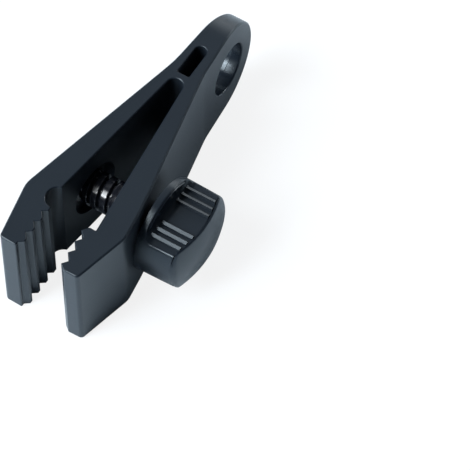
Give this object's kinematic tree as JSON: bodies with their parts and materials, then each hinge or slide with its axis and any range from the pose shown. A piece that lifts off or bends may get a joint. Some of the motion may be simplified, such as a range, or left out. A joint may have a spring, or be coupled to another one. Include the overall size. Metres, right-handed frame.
{
  "type": "tarp clip",
  "caption": "Screw-closed tarp clip: toothed plastic arms spread from a flat eye end with a hanging hole and are drawn together by a ribbed thumb knob on a screw.",
  "frame": {"origin": "centre of the eye hole, at half the clip's width and half the eye end's thickness", "axes": "+X from the eye towards the jaws along the middle plane of the flat eye end, +Y along the eye hole's axis towards the thumb knob, +Z across the clip's width, up as the clip lies on its side in the picture"},
  "size_m": [0.1121, 0.0523, 0.035],
  "materials": {
    "body_plastic": "satin",
    "knob_plastic": "satin",
    "screw_plastic": "gloss"
  },
  "bodies": {
    "base": {"lower_arm": "body_plastic"},
    "closing_arm": {"upper_arm": "body_plastic"},
    "slip_washer": {"washer": "screw_plastic"},
    "thumb_screw": {"knob": "knob_plastic", "screw": "screw_plastic"}
  },
  "joints": [
    {"name": "arm_close", "type": "hinge", "parent": "base", "child": "closing_arm", "pos_m": [0.02025, -0.0003, 0], "axis": [0, 0, -1], "range_deg": [0, 9.8]},
    {"name": "screw_travel", "type": "slide", "parent": "base", "child": "slip_washer", "axis": [0, -1, 0], "range_m": [0, 0.0091]},
    {"name": "knob_spin", "type": "hinge", "parent": "slip_washer", "child": "thumb_screw", "pos_m": [0.05845, 0.01636, 0], "axis": [0, -1, 0], "range_deg": [0, 1023.75]}
  ],
  "couplings": [
    {"joint": "knob_spin", "follows": "screw_travel", "rad_per_m": 1963.5},
    {"joint": "arm_close", "follows": "screw_travel", "rad_per_m": 18.796}
  ]
}
